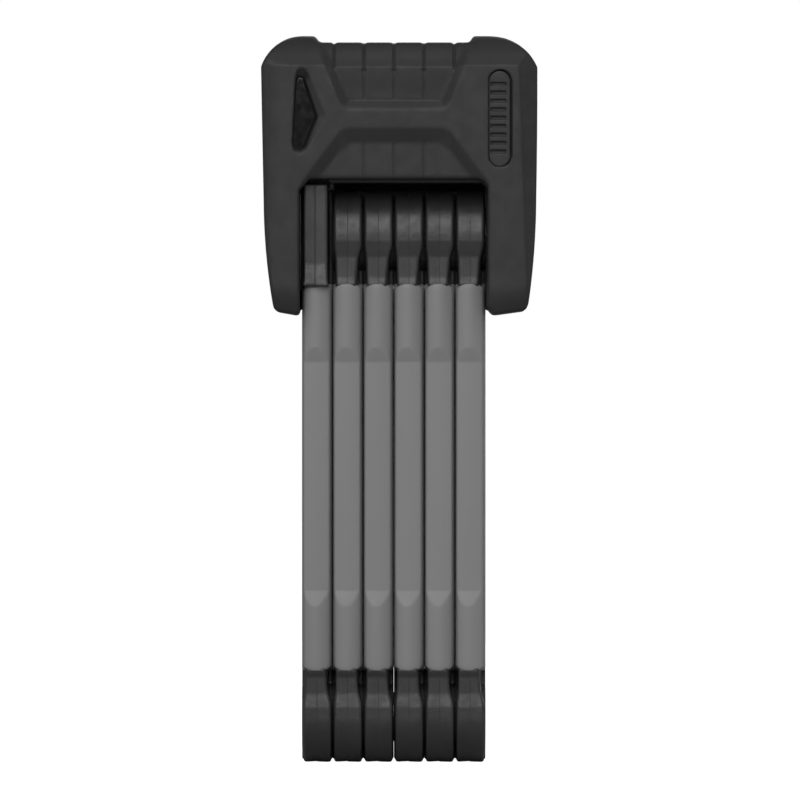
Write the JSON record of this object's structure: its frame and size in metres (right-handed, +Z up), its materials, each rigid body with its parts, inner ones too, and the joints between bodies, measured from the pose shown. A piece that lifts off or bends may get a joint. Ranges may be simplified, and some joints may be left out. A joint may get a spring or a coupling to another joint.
{
  "type": "folding bike lock",
  "caption": "Folding bike lock: U-shaped soft-touch lock head over a stack of hinged steel bars in grey sleeves with black ends, folded for carrying.",
  "frame": {"origin": "under the middle of the head, on the level of the lower ends of the folded bars", "axes": "+Z up the bars towards the head, +X to the right across the stack of bars, -Y out of the front face"},
  "size_m": [0.0786, 0.041, 0.2066],
  "materials": {
    "soft_touch": "soft-touch moulded, fine grain",
    "gloss_black": "polished",
    "black_cap": "moulded, grained",
    "grey_sleeve": "satin moulded",
    "hardened_steel": "hardened, dark zinc plated",
    "plated_steel": "zinc plated",
    "black_screw": "black oxide",
    "brass": "machined"
  },
  "bodies": {
    "head": {"front_cover": "soft_touch", "rear_cover": "soft_touch", "window_insert": "gloss_black", "badge_plate": "soft_touch", "lock_case": "hardened_steel", "base_rivet": "plated_steel", "base_washer": "plated_steel", "cover_screws": "black_screw", "cylinder_body": "brass", "cylinder_pin": "plated_steel", "shutter_frame": "black_cap"},
    "plug": {"key_plug": "brass", "detainer_discs": "brass", "sidebar": "plated_steel", "plug_cam": "plated_steel"},
    "bolt": {"locking_bolt": "plated_steel"},
    "shutter": {"keyhole_shutter": "black_cap"},
    "bar_1": {"steel_bar_1": "hardened_steel", "sleeve_1": "grey_sleeve", "upper_cap_1": "black_cap", "lower_cap_1": "black_cap", "rivet_1": "plated_steel", "rivet_washer_1": "plated_steel"},
    "bar_2": {"steel_bar_2": "hardened_steel", "sleeve_2": "grey_sleeve", "upper_cap_2": "black_cap", "lower_cap_2": "black_cap", "rivet_2": "plated_steel", "rivet_washer_2": "plated_steel"},
    "bar_3": {"steel_bar_3": "hardened_steel", "sleeve_3": "grey_sleeve", "upper_cap_3": "black_cap", "lower_cap_3": "black_cap", "rivet_3": "plated_steel", "rivet_washer_3": "plated_steel"},
    "bar_4": {"steel_bar_4": "hardened_steel", "sleeve_4": "grey_sleeve", "upper_cap_4": "black_cap", "lower_cap_4": "black_cap", "rivet_4": "plated_steel", "rivet_washer_4": "plated_steel"},
    "bar_5": {"steel_bar_5": "hardened_steel", "sleeve_5": "grey_sleeve", "upper_cap_5": "black_cap", "lower_cap_5": "black_cap", "rivet_5": "plated_steel", "rivet_washer_5": "plated_steel"},
    "bar_6": {"steel_bar_6": "hardened_steel", "sleeve_6": "grey_sleeve", "upper_cap_6": "black_cap", "lower_cap_6": "black_cap"}
  },
  "joints": [
    {"name": "base_hinge", "type": "hinge", "parent": "head", "child": "bar_1", "pos_m": [0.02453, 0, 0.1497], "axis": [-1, 0, 0], "range_deg": [0, 90]},
    {"name": "bar_hinge_1", "type": "hinge", "parent": "bar_1", "child": "bar_2", "pos_m": [0.01583, 0, 0.013], "axis": [-1, 0, 0], "range_deg": [0, 180]},
    {"name": "bar_hinge_2", "type": "hinge", "parent": "bar_2", "child": "bar_3", "pos_m": [0.00713, 0, 0.1497], "axis": [-1, 0, 0], "range_deg": [0, 90]},
    {"name": "bar_hinge_3", "type": "hinge", "parent": "bar_3", "child": "bar_4", "pos_m": [-0.00157, 0, 0.013], "axis": [-1, 0, 0], "range_deg": [0, 180]},
    {"name": "bar_hinge_4", "type": "hinge", "parent": "bar_4", "child": "bar_5", "pos_m": [-0.01027, 0, 0.1497], "axis": [-1, 0, 0], "range_deg": [0, 90]},
    {"name": "bar_hinge_5", "type": "hinge", "parent": "bar_5", "child": "bar_6", "pos_m": [-0.01897, 0, 0.013], "axis": [-1, 0, 0], "range_deg": [0, 180]},
    {"name": "plug_turn", "type": "hinge", "parent": "head", "child": "plug", "pos_m": [0.003, 0, 0.19], "axis": [0, 0, 1], "range_deg": [0, 90]},
    {"name": "bolt_slide", "type": "slide", "parent": "head", "child": "bolt", "axis": [-1, 0, 0], "range_m": [0, 0.009]},
    {"name": "shutter_slide", "type": "slide", "parent": "head", "child": "shutter", "axis": [-1, 0, 0], "range_m": [0, 0.0115]}
  ],
  "couplings": [
    {"joint": "plug_turn", "follows": "bolt_slide", "rad_per_m": 174.53}
  ]
}
